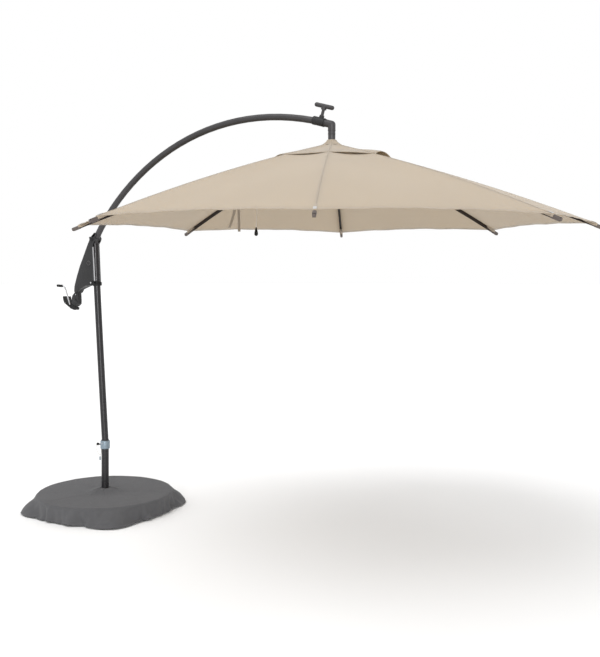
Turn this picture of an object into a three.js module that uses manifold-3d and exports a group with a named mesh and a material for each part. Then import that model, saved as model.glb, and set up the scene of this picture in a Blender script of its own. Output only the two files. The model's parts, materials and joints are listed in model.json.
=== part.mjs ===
// Offset patio umbrella with an octagonal vented canopy, a cranked hoist and a weighted cross base.
// Millimetres, +Z up. The origin is on the ground under the post, and +X points from the mast to the
// canopy's hub.

import * as THREE from 'three';
import { mergeVertices } from 'three/addons/utils/BufferGeometryUtils.js';
import Module from 'manifold-3d';

const wasm = await Module();
wasm.setup();

// ---- driving dimensions -----------------------------------------------------------------------------
const GAP = 0.4; // clearance between pieces that touch or slide

// base
const PLATE_SIDE = 100;
const PLATE_THICK = 4;
const BEAM_LENGTH = 996;
const BEAM_TOP_HALF = 34;
const BEAM_FOOT_HALF = 55;
const BEAM_HEIGHT = 32;
const SHEET = 2.5; // steel sheet of the beams
const WEIGHT_RADIUS = 430;
const WEIGHT_TOP = 100;
const WEIGHT_BEVEL = 4;
const POST_RADIUS = 24;
const POST_WALL = 1.6;
const POST_TOP = 440;
const SKIRT_RADIUS = 86;
const SKIRT_TOP = 124;
const COLLAR_RADIUS = 31;
const COLLAR_BOTTOM = 386;
const COVER_THICK = 2;
const COVER_TOP = 138;

// lock pin, along X through the collar
const PIN_RADIUS = 4.5;
const PIN_HEIGHT = 410;
const PIN_OUTER = -56;
const PIN_INNER = -8;
const LANYARD_RADIUS = 1.5;

// mast, as a curve in the XZ plane, and the hinge that the arm turns on
const MAST_RADIUS = 22;
const MAST_WALL = 1.6;
const MAST_POINTS = [[0, 442], [-71, 1450], [-82, 1732]];
const PIVOT = { x: -82, z: 1760 };
const PIVOT_RADIUS = 6;
const HINGE_HALF = 28; // half width of the mast's hinge barrel

// arm, a cubic curve in the XZ plane
const ARM_RADIUS = 20;
const ARM_WALL = 1.6;
const ARM_POINTS = [[-70, 1775], [212, 2250], [852, 2625], [1600, 2412]];
const SLEEVE_RADIUS = 25;
const SLEEVE_LENGTH = 78;
const KNOB_BACK = 30; // from the arm's end back to the knob's axis
const KNOB_REACH = 92; // from the arm's axis to the middle of the T-bar
const KNOB_BAR_HALF = 51;
const KNOB_BAR_RADIUS = 13;
const ELBOW_RADIUS = 22;

// lever housing, outline in the XZ plane, anticlockwise from its lowest rear corner
const LEVER_HALF = 34; // half width across Y
const LEVER_WALL = 3;
const NECK_HALF = 25; // half width of the housing round the foot of the arm
const NECK_FOOT = 1776;
const ROOM_HALF = 29; // half width of the space for the mast inside the housing
const LEVER_OUTLINE = [
  [-233, 1412], [-220, 1403], [-203, 1427], [-170, 1440], [-138, 1452], [-62, 1461], [-76, 1728], [-62, 1748],
  [-57, 1764], [-62, 1771], [-52, 1790], [-72, 1803], [-96, 1780], [-107, 1773], [-103, 1757], [-126, 1710],
  [-158, 1640], [-185, 1582], [-211, 1512], [-231, 1448],
];

// latch, on the near side of the housing
const LATCH_PIVOT = { x: -84, z: 1474 };
const LATCH_PEG = { x: -54, z: 1470 };
const LATCH_OUTLINE = [
  [-92, 1466], [-62, 1466], [-59, 1478], [-40, 1478], [-40, 1469.5], [-33, 1470], [-33, 1482], [-38, 1486],
  [-88, 1484], [-94, 1478],
];
const BAND_RADIUS = 27;
const BAND_LOW = 1453;
const BAND_HIGH = 1479;

// winch and crank: local z runs down and out along the crank's axis, local x up and out
const WINCH = { x: -244, z: 1340, turn: -135 };
const BARREL_RADIUS = 27;
const BARREL_BACK = -22;
const BARREL_FRONT = 12;
const CASE_HALF = 18;
const CASE_OUTLINE = [
  [-236, 1414], [-262, 1388], [-268, 1368], [-271, 1351], [-233, 1313], [-213, 1330], [-212, 1357],
  [-216, 1412],
];
const DRUM_RADIUS = 12;
const FLANGE_RADIUS = 21;
const SHAFT_RADIUS = 8;
const CRANK_HALF = 12;
const CRANK_OUTLINE = [
  [-228, 1294], [-248, 1291], [-288, 1303], [-324, 1326], [-344, 1352], [-348, 1380], [-300, 1379],
  [-296, 1357], [-280, 1337], [-256, 1318], [-226, 1306],
];
const ROD_RADIUS = 5;
const ROD_Y = -CRANK_HALF - ROD_RADIUS - GAP;
const ROD_POINTS = [[-284, 1329], [-321, 1425], [-328, 1439], [-340, 1448], [-395, 1451]];
const GRIP_RADIUS = 8;

// canopy: lengths in one rib's own plane, from the hub's axis and the height of the rib pivots
const HUB_X = 1643;
const HUB_Z = 2270;
const RIB_COUNT = 8;
const RIB_STEP = 360 / RIB_COUNT;
const RIB_PIVOT = 45;
const RIB_TIP = [1524, -470];
const RIB_BOW = 26;
const RIB_BACK = 11; // how far the rib runs inwards past its pivot
const RIB_HALF_WIDTH = 7;
const RIB_HALF_HEIGHT = 9;
const RIB_WALL = 1.5;
const HUB_RADIUS = 58;
const HUB_TOP = 9.6;
const HUB_BOTTOM = -14;
const HUB_SLOT = 15;
const HUB_SLOT_FLOOR = 29.5;
const POST_FOOT = 2306;
const STRUT_REACH = 620; // from rib pivot to strut pivot, and the strut's own length
const STRUT_HALF_WIDTH = 4.5;
const STRUT_HALF_HEIGHT = 5;
const STRUT_DROP = 3; // strut pivot below the rib's centreline
const RUNNER_HALF_HEIGHT = 13;
const RUNNER_SLOT = 12;
const RUNNER_SLOT_FLOOR = 36;
const ROPE_RADIUS = 2;

// canopy fabric
const HEM_RADIUS = 1486;
const FABRIC_THICK = 1.6;
const FABRIC_LIFT = 11.5; // fabric's underside above the rib's centreline
const GORE_SAG = 14;
const HEM_SCALLOP = 40;
const VENT_RADIUS = 205;
const CAP_RADIUS = 346;
const CAP_INNER = 26;
const CAP_LIFT = 34;
const CAP_SEAM = 0.9; // share of the half gore where the cap meets the main canopy
const NECK_LIFT = 30; // how far the cap is drawn up round the post
const NECK_FADE = 16;
const SEAM_GAP = 0.6;

// soft parts that hang from one rib
const HANGING_RIB = 4;
const CORD_AT = 711;
const CORD_RADIUS = 1.25;
const CORD_END = 1832;
const PENDANT_LENGTH = 57;
const STRAP_AT = 913;
const STRAP_SIZE = [2.4, 44];
const STRAP_END = 1808;

const RAD = Math.PI / 180;

// ---- finishes ---------------------------------------------------------------------------------------
const finish = (color, roughness, metalness = 0) => (
  new THREE.MeshStandardMaterial({ color, roughness, metalness })
);
const FINISH = {
  charcoal: finish(0x4a4a4b, 0.5, 0.4),
  mastPaint: finish(0x3e3e40, 0.45, 0.4),
  housing: finish(0x404041, 0.65),
  blackPlastic: finish(0x1e1e1f, 0.5),
  steel: finish(0xb9babb, 0.3, 1),
  collar: finish(0x7b8a94, 0.45, 0.3),
  canopy: finish(0xcabdac, 0.9),
  coverCloth: finish(0x616163, 0.95),
  ribPaint: finish(0x3b3230, 0.5, 0.4),
  baseSteel: finish(0x2c2c2e, 0.6, 0.4),
  ballast: finish(0x343436, 0.85),
  cord: finish(0xd8d5cf, 0.9),
  webbing: finish(0xbcb6ac, 0.9),
};

// ---- helpers ----------------------------------------------------------------------------------------
const object = new THREE.Group();

function piece(name, geometry, material, parent = object) {
  const mesh = new THREE.Mesh(geometry, material);
  mesh.name = name;
  parent.add(mesh);
  return mesh;
}

function toSolid(geometry) {
  const bare = geometry.clone();
  bare.deleteAttribute('normal');
  bare.deleteAttribute('uv');
  const merged = mergeVertices(bare, 1e-3);
  return new wasm.Manifold(new wasm.Mesh({
    numProp: 3,
    vertProperties: new Float32Array(merged.attributes.position.array),
    triVerts: new Uint32Array(merged.index.array),
  }));
}

function toGeometry(solid) {
  const mesh = solid.getMesh();
  const geometry = new THREE.BufferGeometry();
  geometry.setAttribute('position', new THREE.BufferAttribute(new Float32Array(mesh.vertProperties), 3));
  geometry.setIndex(new THREE.BufferAttribute(new Uint32Array(mesh.triVerts), 1));
  return geometry;
}

function join(first, ...others) {
  return toGeometry(others.reduce((sum, g) => sum.add(toSolid(g)), toSolid(first)));
}

function cut(first, ...others) {
  return toGeometry(others.reduce((sum, g) => sum.subtract(toSolid(g)), toSolid(first)));
}

// A point of the XZ plane as a 3-D vector.
const inPlane = ([x, z]) => new THREE.Vector3(x, 0, z);

// A cylinder between two points.
function rod(from, to, radius, sides = 16) {
  const along = new THREE.Vector3().subVectors(to, from);
  const geometry = new THREE.CylinderGeometry(radius, radius, along.length(), sides);
  geometry.applyQuaternion(new THREE.Quaternion().setFromUnitVectors(
    new THREE.Vector3(0, 1, 0),
    along.clone().normalize(),
  ));
  return geometry.translate(...from.clone().addScaledVector(along, 0.5).toArray());
}

// A ball with its poles on the Z axis.
function ball(centre, radius, around, down) {
  return new THREE.SphereGeometry(radius, around, down).rotateX(Math.PI / 2).translate(...centre.toArray());
}

// A box given by its size and its centre.
const block = (x, y, z, cx, cy, cz) => new THREE.BoxGeometry(x, y, z).translate(cx, cy, cz);

// A solid of revolution about +Z from [radius, z] pairs that close on themselves or start and end on
// the axis.
function turned(profile, sides = 32) {
  const points = profile.map(([r, z]) => new THREE.Vector2(r, z));
  return new THREE.LatheGeometry(points, sides).rotateX(Math.PI / 2);
}

function ringShape(outer, inner) {
  const shape = new THREE.Shape().absarc(0, 0, outer, 0, 2 * Math.PI);
  shape.holes.push(new THREE.Path().absarc(0, 0, inner, 0, 2 * Math.PI, true));
  return shape;
}

// An open tube along a curve.
function tubeAlong(curve, outer, inner, steps, sides) {
  const options = { extrudePath: curve, steps, curveSegments: sides, bevelEnabled: false };
  return new THREE.ExtrudeGeometry(ringShape(outer, inner), options);
}

// A plate in the XZ plane, from an outline of [x, z] pairs, between two values of Y.
function plateXZ(outline, low, high) {
  const shape = new THREE.Shape(outline.map(([x, z]) => new THREE.Vector2(x, z)));
  const plate = new THREE.ExtrudeGeometry(shape, { depth: high - low, bevelEnabled: false });
  return plate.rotateX(Math.PI / 2).translate(0, high, 0);
}

// The same outline, each side moved inwards by a distance.
function inset(outline, distance) {
  const at = (i) => outline[(i + outline.length) % outline.length];
  const area = outline.reduce((sum, [x, z], i) => sum + x * at(i + 1)[1] - at(i + 1)[0] * z, 0);
  const turn = Math.sign(area);
  return outline.map((corner, i) => {
    const sides = [[at(i - 1), corner], [corner, at(i + 1)]].map(([a, b]) => {
      const length = Math.hypot(b[0] - a[0], b[1] - a[1]);
      return [(-turn * (b[1] - a[1])) / length, (turn * (b[0] - a[0])) / length];
    });
    const [n, m] = sides;
    const scale = distance / (1 + n[0] * m[0] + n[1] * m[1]);
    return [corner[0] + (n[0] + m[0]) * scale, corner[1] + (n[1] + m[1]) * scale];
  });
}

// A box whose unit cube is bent by a formula: u and v run 0 to 1 over the sheet and w is 0 below and 1 above.
function bentSheet(uSteps, vSteps, place) {
  const geometry = new THREE.BoxGeometry(1, 1, 1, uSteps, vSteps, 1);
  const position = geometry.attributes.position;
  for (let i = 0; i < position.count; i += 1) {
    const [u, v, w] = [position.getX(i), position.getY(i), position.getZ(i)].map((c) => c + 0.5);
    position.setXYZ(i, ...place(u, v, w).toArray());
  }
  return geometry;
}

// ---- base -------------------------------------------------------------------------------------------
function addBase() {
  piece('centre_plate', block(PLATE_SIDE, PLATE_SIDE, PLATE_THICK, 0, 0, PLATE_THICK / 2), FINISH.baseSteel);

  const hat = new THREE.Shape([
    [-BEAM_FOOT_HALF, 0], [-BEAM_TOP_HALF + SHEET, 0], [-BEAM_TOP_HALF + SHEET, BEAM_HEIGHT - SHEET],
    [BEAM_TOP_HALF - SHEET, BEAM_HEIGHT - SHEET], [BEAM_TOP_HALF - SHEET, 0], [BEAM_FOOT_HALF, 0],
    [BEAM_FOOT_HALF, SHEET], [BEAM_TOP_HALF, SHEET], [BEAM_TOP_HALF, BEAM_HEIGHT],
    [-BEAM_TOP_HALF, BEAM_HEIGHT], [-BEAM_TOP_HALF, SHEET], [-BEAM_FOOT_HALF, SHEET],
  ].map(([x, y]) => new THREE.Vector2(x, y)));
  const beam = (angle) => new THREE.ExtrudeGeometry(hat, { depth: BEAM_LENGTH, bevelEnabled: false })
    .translate(0, 0, -BEAM_LENGTH / 2).rotateX(Math.PI / 2).rotateZ(angle);
  const lapWidth = 2 * BEAM_FOOT_HALF + 2 * GAP;
  const lap = (angle, low, high) => (
    block(lapWidth, lapWidth, high - low, 0, 0, (low + high) / 2).rotateZ(angle)
  );
  const half = BEAM_HEIGHT / 2;
  const plateRoom = block(PLATE_SIDE + 2 * GAP, PLATE_SIDE + 2 * GAP, 2 * (PLATE_THICK + GAP), 0, 0, 0);
  const upwards = (height) => new THREE.Vector3(0, 0, height);
  const postRoom = rod(upwards(-50), upwards(50), POST_RADIUS + GAP, 24);
  const quarter = Math.PI / 4;
  const upper = cut(beam(quarter), lap(quarter, -1, half + GAP), plateRoom, postRoom);
  const lower = cut(beam(-quarter), lap(quarter, half, BEAM_HEIGHT + 1), plateRoom, postRoom);
  piece('base_beam_a', upper, FINISH.baseSteel);
  piece('base_beam_b', lower, FINISH.baseSteel);

  const post = turned([
    [POST_RADIUS - POST_WALL, PLATE_THICK + GAP], [POST_RADIUS, PLATE_THICK + GAP],
    [POST_RADIUS, POST_TOP], [POST_RADIUS - POST_WALL, POST_TOP],
    [POST_RADIUS - POST_WALL, PLATE_THICK + GAP],
  ], 24);
  piece('lower_post', cut(post, pinRoom()), FINISH.mastPaint);

  const margin = BEAM_TOP_HALF + 3;
  const bottom = SHEET + GAP;
  const start = Math.asin(margin / WEIGHT_RADIUS);
  for (let i = 0; i < 4; i += 1) {
    const sector = new THREE.Shape();
    sector.moveTo(margin, margin);
    sector.lineTo(Math.cos(start) * WEIGHT_RADIUS, margin);
    sector.absarc(0, 0, WEIGHT_RADIUS, start, Math.PI / 2 - start, false);
    const weight = new THREE.ExtrudeGeometry(sector, {
      depth: WEIGHT_TOP - bottom - 2 * WEIGHT_BEVEL,
      curveSegments: 10,
      bevelSegments: 1,
      bevelThickness: WEIGHT_BEVEL,
      bevelSize: WEIGHT_BEVEL,
      bevelOffset: -WEIGHT_BEVEL,
    }).translate(0, 0, bottom + WEIGHT_BEVEL).rotateZ(quarter + (i * Math.PI) / 2);
    piece(`weight_${i + 1}`, weight, FINISH.ballast);
  }

  const inner = POST_RADIUS + 1;
  piece('base_skirt', turned([
    [inner, WEIGHT_TOP + GAP], [SKIRT_RADIUS, WEIGHT_TOP + GAP], [SKIRT_RADIUS, WEIGHT_TOP + 6],
    [inner + 20, SKIRT_TOP], [inner, SKIRT_TOP], [inner, WEIGHT_TOP + GAP],
  ], 32), FINISH.blackPlastic);
}

// The cover: a drape over the disc and the beam ends, fullest at the beam ends, open below.
function addCover() {
  const outline = [
    [POST_RADIUS + 3, COVER_TOP], [POST_RADIUS + 26, COVER_TOP - 6], [SKIRT_RADIUS + 14, WEIGHT_TOP + 12],
    [300, WEIGHT_TOP + 9], [WEIGHT_RADIUS - 2, WEIGHT_TOP + 6], [WEIGHT_RADIUS + 12, WEIGHT_TOP - 12],
    [WEIGHT_RADIUS + 20, BEAM_HEIGHT + 6], [WEIGHT_RADIUS + 24, 0.5],
  ];
  const under = outline.map(([r, z], i) => (i > 4 ? [r - COVER_THICK, z] : [r - 0.4, z - COVER_THICK]));
  const shell = turned([...outline, ...under.reverse(), outline[0]].reverse(), 64);
  const beamReach = BEAM_LENGTH / 2 + 8;
  const position = shell.attributes.position;
  for (let i = 0; i < position.count; i += 1) {
    const [x, y, z] = [position.getX(i), position.getY(i), position.getZ(i)];
    const radius = Math.hypot(x, y);
    const corner = Math.min(1, 1.35 * Math.abs(Math.sin(2 * Math.atan2(y, x))) ** 4);
    const low = THREE.MathUtils.clamp((WEIGHT_TOP - 12 - z) / 48, 0, 1);
    const outside = THREE.MathUtils.clamp((radius - WEIGHT_RADIUS + 20) / 20, 0, 1);
    const wanted = 1 + (corner * outside * (0.15 + 0.85 * low) * (beamReach - WEIGHT_RADIUS - 20)) / radius;
    position.setXY(i, x * wanted, y * wanted);
  }
  piece('base_cover', shell, FINISH.coverCloth);
}

// ---- lock collar, pin and lanyard -------------------------------------------------------------------
const pinAt = (x) => new THREE.Vector3(x, 0, PIN_HEIGHT);

function pinRoom() {
  return rod(pinAt(PIN_OUTER), pinAt(PIN_INNER), PIN_RADIUS + GAP, 12);
}

function addCollar() {
  const inner = POST_RADIUS + GAP;
  const edge = 3;
  const ring = turned([
    [inner, COLLAR_BOTTOM], [COLLAR_RADIUS - edge, COLLAR_BOTTOM], [COLLAR_RADIUS, COLLAR_BOTTOM + edge],
    [COLLAR_RADIUS, POST_TOP - edge], [COLLAR_RADIUS - edge, POST_TOP], [inner, POST_TOP],
    [inner, COLLAR_BOTTOM],
  ], 32);
  piece('lock_collar', cut(ring, pinRoom()), FINISH.collar);
  const shaft = rod(pinAt(PIN_OUTER), pinAt(PIN_INNER), PIN_RADIUS, 12);
  const pull = rod(pinAt(PIN_OUTER - 10), pinAt(PIN_OUTER), 9, 16);
  piece('lock_pin', join(shaft, pull), FINISH.blackPlastic);

  const route = new THREE.CatmullRomCurve3([
    [-60, -11.2, PIN_HEIGHT], [-62, -13, 400], [-61, -14, 384], [-54, -14, 364], [-44, -13, 350],
    [-35, -11, 346], [-30, -9, 352], [-28.5, -8, 364], [-28.5, -7, 376], [-28.5, -6.5, COLLAR_BOTTOM - 1],
  ].map((p) => new THREE.Vector3(...p)));
  const section = new THREE.Shape().absarc(0, 0, LANYARD_RADIUS, 0, 2 * Math.PI);
  const lanyard = { extrudePath: route, steps: 26, curveSegments: 4, bevelEnabled: false };
  piece('pin_lanyard', new THREE.ExtrudeGeometry(section, lanyard), FINISH.cord);
}

// ---- mast -------------------------------------------------------------------------------------------
const mastCurve = new THREE.QuadraticBezierCurve3(...MAST_POINTS.map(inPlane));

// X of the mast's centreline at a height.
function mastX(height) {
  const points = mastCurve.getPoints(200);
  return points.reduce((best, p) => (Math.abs(p.z - height) < Math.abs(best.z - height) ? p : best)).x;
}

function addMast() {
  const spigot = POST_RADIUS - POST_WALL - GAP;
  const spigotFoot = PIN_HEIGHT + PIN_RADIUS + 2;
  const bush = turned([
    [spigot - 6, spigotFoot], [spigot, spigotFoot], [spigot, POST_TOP + GAP], [POST_RADIUS, POST_TOP + GAP],
    [POST_RADIUS, POST_TOP + 6], [spigot - 6, POST_TOP + 6], [spigot - 6, spigotFoot],
  ], 24);
  const tube = tubeAlong(mastCurve, MAST_RADIUS, MAST_RADIUS - MAST_WALL, 12, 14);
  piece('mast', join(tube, bush), FINISH.mastPaint);

  const foot = MAST_POINTS[2][1] + 3 * GAP;
  const acrossPivot = (reach) => [-1, 1].map((side) => new THREE.Vector3(PIVOT.x, side * reach, PIVOT.z));
  const barrel = rod(...acrossPivot(HINGE_HALF), 14, 20);
  const neck = block(24, 30, PIVOT.z - foot, PIVOT.x, 0, (PIVOT.z + foot) / 2);
  const cap = turned([[0, foot], [MAST_RADIUS, foot], [MAST_RADIUS, foot + 4], [0, foot + 4]], 24)
    .translate(PIVOT.x, 0, 0);
  const bore = rod(...acrossPivot(LEVER_HALF), PIVOT_RADIUS + GAP, 16);
  piece('mast_hinge', cut(join(cap, neck, barrel), bore), FINISH.charcoal);

  const pin = rod(...acrossPivot(LEVER_HALF + 4), PIVOT_RADIUS, 16);
  const [farHead, nearHead] = [-1, 1].map((side) => {
    const [inside, outside] = [LEVER_HALF + GAP, LEVER_HALF + 5].map((y) => side * y);
    return crossbar(PIVOT, inside, outside, 10, 20);
  });
  piece('hinge_pin', join(pin, farHead, nearHead), FINISH.steel);

  const middle = mastX((BAND_LOW + BAND_HIGH) / 2);
  const inner = MAST_RADIUS + GAP;
  const ring = turned([
    [inner, BAND_LOW], [BAND_RADIUS, BAND_LOW], [BAND_RADIUS, BAND_HIGH], [inner, BAND_HIGH],
    [inner, BAND_LOW],
  ], 32);
  const lean = (mastX(BAND_HIGH) - mastX(BAND_LOW)) / (BAND_HIGH - BAND_LOW);
  const height = (BAND_LOW + BAND_HIGH) / 2;
  ring.translate(0, 0, -height).rotateY(Math.atan(lean)).translate(middle, 0, height);
  const lug = block(10, 18, BAND_HIGH - BAND_LOW - 4, middle + BAND_RADIUS + 1, 0, height);
  const peg = rod(
    new THREE.Vector3(LATCH_PEG.x, -21, LATCH_PEG.z),
    new THREE.Vector3(LATCH_PEG.x, -LEVER_HALF - 11, LATCH_PEG.z),
    3,
    12,
  );
  piece('mast_band', join(ring, lug, peg), FINISH.blackPlastic);
}

// ---- lever housing and latch ------------------------------------------------------------------------
const armCurve = new THREE.CubicBezierCurve3(...ARM_POINTS.map(inPlane));

// A bar across the object, along Y.
const crossbar = ({ x, z }, low, high, radius, sides = 16) => rod(
  new THREE.Vector3(x, low, z),
  new THREE.Vector3(x, high, z),
  radius,
  sides,
);

// The space for the mast and its hinge, open at the front so that the housing can swing off the mast.
function mastRoom() {
  const rear = -106;
  const front = 20;
  const low = 1380;
  const high = 1752;
  const outline = [[rear, low], [front, low], [front, high], [rear, high]];
  return join(plateXZ(outline, -ROOM_HALF, ROOM_HALF), crossbar(PIVOT, -ROOM_HALF, ROOM_HALF, 20, 24));
}

function armRoom() {
  const section = new THREE.Shape().absarc(0, 0, ARM_RADIUS + GAP, 0, 2 * Math.PI);
  const options = { extrudePath: armCurve, steps: 30, curveSegments: 24, bevelEnabled: false };
  return new THREE.ExtrudeGeometry(section, options);
}

function addLever() {
  const beside = LEVER_HALF - NECK_HALF + 1;
  const besideNeck = [-1, 1].map((side) => (
    block(200, beside, 100, PIVOT.x, side * (NECK_HALF + beside / 2), NECK_FOOT + 50)
  ));
  const cuts = [
    ...besideNeck,
    plateXZ(inset(LEVER_OUTLINE, LEVER_WALL), LEVER_WALL - LEVER_HALF, LEVER_HALF - LEVER_WALL),
    mastRoom(),
    armRoom(),
    crossbar(PIVOT, -LEVER_HALF - 1, LEVER_HALF + 1, PIVOT_RADIUS + GAP),
    crossbar(LATCH_PIVOT, -LEVER_HALF - 1, 0, 3 + GAP),
  ];
  const parting = GAP / 2;
  const shell = (low, high) => cut(plateXZ(LEVER_OUTLINE, low, high), ...cuts);
  piece('lever_shell_left', shell(parting, LEVER_HALF), FINISH.housing);
  piece('lever_shell_right', shell(-LEVER_HALF, -parting), FINISH.housing);

  const face = -LEVER_HALF;
  piece('latch_screw', join(
    crossbar(LATCH_PIVOT, face - 9, face + 5, 3, 12),
    crossbar(LATCH_PIVOT, face - 11, face - 8.5, 6, 16),
  ), FINISH.steel);
  const hook = plateXZ(LATCH_OUTLINE, face - 8, face - 4);
  piece('latch_hook', cut(hook, crossbar(LATCH_PIVOT, face - 10, face, 3 + GAP, 12)), FINISH.blackPlastic);
}

// ---- winch and crank --------------------------------------------------------------------------------
// Moves a geometry from the winch's own frame into the object's.
const atWinch = (geometry) => geometry.rotateY(WINCH.turn * RAD).translate(WINCH.x, 0, WINCH.z);

function addWinch() {
  const barrel = atWinch(turned([
    [0, BARREL_BACK], [BARREL_RADIUS, BARREL_BACK], [BARREL_RADIUS, BARREL_FRONT], [0, BARREL_FRONT],
  ], 28));
  const hollow = BARREL_RADIUS - 4;
  const cavity = atWinch(turned([
    [0, BARREL_BACK + 4], [hollow, BARREL_BACK + 4], [hollow, BARREL_FRONT - 3],
    [SHAFT_RADIUS + 1, BARREL_FRONT - 3], [SHAFT_RADIUS + 1, BARREL_FRONT + 1], [0, BARREL_FRONT + 1],
  ], 24));
  const housing = join(barrel, plateXZ(CASE_OUTLINE, -CASE_HALF, CASE_HALF));
  piece('gearbox', cut(housing, cavity, leverFoot()), FINISH.housing);

  const back = BARREL_BACK + 8;
  const front = BARREL_FRONT - 7;
  piece('winch_drum', atWinch(turned([
    [0, back], [FLANGE_RADIUS, back], [FLANGE_RADIUS, back + 3], [DRUM_RADIUS, back + 3],
    [DRUM_RADIUS, front - 3], [FLANGE_RADIUS, front - 3], [FLANGE_RADIUS, front],
    [SHAFT_RADIUS, front], [SHAFT_RADIUS, BARREL_FRONT + 2.6], [0, BARREL_FRONT + 2.6],
  ], 24)), FINISH.steel);

  const boss = atWinch(turned([
    [0, BARREL_FRONT + 3], [CRANK_HALF, BARREL_FRONT + 3], [CRANK_HALF, BARREL_FRONT + 22],
    [0, BARREL_FRONT + 22],
  ], 20));
  const stub = { x: ROD_POINTS[0][0], z: ROD_POINTS[0][1] };
  const crank = join(plateXZ(CRANK_OUTLINE, -CRANK_HALF, CRANK_HALF), boss);
  piece('crank_arm', cut(crank, crossbar(stub, ROD_Y, -2, ROD_RADIUS + GAP)), FINISH.blackPlastic);

  const corners = ROD_POINTS.map(([x, z]) => new THREE.Vector3(x, ROD_Y, z));
  const lengths = corners.slice(1).map((corner, i) => rod(corners[i], corner, ROD_RADIUS, 12));
  const bends = corners.slice(0, -1).map((c) => ball(c, ROD_RADIUS, 12, 8));
  const foot = crossbar(stub, ROD_Y, -2 - GAP, ROD_RADIUS, 12);
  piece('crank_rod', join(...lengths, ...bends, foot), FINISH.steel);

  const [inner, outer] = corners.slice(-2);
  const [gripStart, gripEnd] = [0.12, 0.97].map((share) => inner.clone().lerp(outer, share));
  const grip = rod(gripStart, gripEnd, GRIP_RADIUS, 20);
  const spindle = rod(inner, outer.clone().lerp(inner, -0.2), ROD_RADIUS + GAP, 16);
  piece('crank_grip', cut(grip, spindle), FINISH.blackPlastic);
}

// The foot of the housing, which the gearbox is cut to fit under.
const leverFoot = () => plateXZ(inset(LEVER_OUTLINE, -GAP), -LEVER_HALF - GAP, LEVER_HALF + GAP);

// ---- arm and its end --------------------------------------------------------------------------------
const armEnd = inPlane(ARM_POINTS[3]);
const armDirection = armCurve.getTangent(1);
const armNormal = new THREE.Vector3(-armDirection.z, 0, armDirection.x);
// A point given by its distance past the arm's end and its height over the arm's axis.
const pastEnd = (along, over = 0) => armEnd.clone()
  .addScaledVector(armDirection, along)
  .addScaledVector(armNormal, over);

function addArm() {
  piece('arm_tube', tubeAlong(armCurve, ARM_RADIUS, ARM_RADIUS - ARM_WALL, 26, 12), FINISH.charcoal);
  const sleeve = join(
    rod(pastEnd(-SLEEVE_LENGTH), pastEnd(-1), SLEEVE_RADIUS, 24),
    rod(pastEnd(-KNOB_BACK), pastEnd(-KNOB_BACK, SLEEVE_RADIUS + 8), 15, 20),
  );
  const stemHole = rod(pastEnd(-KNOB_BACK, ARM_RADIUS + 1), pastEnd(-KNOB_BACK, KNOB_REACH), 6 + GAP, 16);
  piece('arm_sleeve', cut(sleeve, armRoom(), stemHole), FINISH.housing);
}

function addTiltHead() {
  const corner = pastEnd((HUB_X - armEnd.x) / armDirection.x);
  const spigot = rod(pastEnd(-28), pastEnd(2), ARM_RADIUS - ARM_WALL - 1, 20);
  const across = rod(pastEnd(1), corner, ELBOW_RADIUS, 24);
  const bend = ball(corner, ELBOW_RADIUS, 24, 12);
  const footAt = new THREE.Vector3(HUB_X, 0, POST_FOOT);
  const down = rod(footAt, corner, ELBOW_RADIUS - 1, 24);
  const socket = rod(new THREE.Vector3(HUB_X, 0, 2362), corner, ELBOW_RADIUS, 24);
  const bore = rod(new THREE.Vector3(HUB_X, 0, POST_FOOT - 1), new THREE.Vector3(HUB_X, 0, 2350), 18, 20);
  piece('tilt_elbow', cut(join(spigot, across, bend, down, socket), bore), FINISH.charcoal);

  const stem = [SLEEVE_RADIUS + 8 + GAP, SLEEVE_RADIUS + 14, KNOB_REACH - 22, KNOB_REACH];
  const at = (over) => pastEnd(-KNOB_BACK, over);
  const flange = rod(at(stem[0]), at(stem[1]), 14, 20);
  const shaft = rod(at(stem[1]), at(stem[3]), 9, 20);
  const shoulder = rod(at(stem[2]), at(stem[3]), 16, 20);
  const thread = rod(at(ARM_RADIUS + 2), at(stem[1]), 6, 16);
  const ends = [-1, 1].map((side) => pastEnd(-KNOB_BACK + side * KNOB_BAR_HALF, KNOB_REACH));
  const bar = rod(...ends, KNOB_BAR_RADIUS, 20);
  const tips = ends.map((c) => ball(c, KNOB_BAR_RADIUS, 20, 10));
  piece('tilt_knob', join(flange, shaft, shoulder, thread, bar, ...tips), FINISH.charcoal);
}

// ---- ribs, struts, hub and runner -------------------------------------------------------------------
// The canopy's own frame: the hub's axis is x = y = 0 and the rib pivots are at z = 0.
const canopy = new THREE.Group();
canopy.position.set(HUB_X, 0, HUB_Z);
object.add(canopy);

const ribStart = new THREE.Vector3(RIB_PIVOT, 0, 0);
const ribEnd = inPlane(RIB_TIP);
const ribChord = new THREE.Vector3().subVectors(ribEnd, ribStart).normalize();
const ribUp = new THREE.Vector3(-ribChord.z, 0, ribChord.x);
const ribMiddle = ribStart.clone().lerp(ribEnd, 0.5).addScaledVector(ribUp, 2 * RIB_BOW);
const ribCurve = new THREE.QuadraticBezierCurve3(ribStart, ribMiddle, ribEnd);
const ribSamples = ribCurve.getPoints(400);

// Height of the rib's centreline at a distance from the hub's axis, carried on straight inside the pivot.
function ribHeight(radius) {
  if (radius < RIB_PIVOT) {
    const slope = ribCurve.getTangent(0);
    return ((radius - RIB_PIVOT) * slope.z) / slope.x;
  }
  const after = Math.max(1, ribSamples.findIndex((p) => p.x >= radius));
  const [a, b] = [ribSamples[after - 1], ribSamples[after]];
  return THREE.MathUtils.mapLinear(radius, a.x, b.x, a.z, b.z);
}

const strutOuter = (() => {
  const onRib = ribSamples.find((p) => p.distanceTo(ribStart) >= STRUT_REACH);
  return onRib.clone().addScaledVector(ribUp, -STRUT_DROP);
})();
const strutInner = new THREE.Vector3(RIB_PIVOT, 0, 2 * strutOuter.z);

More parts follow.
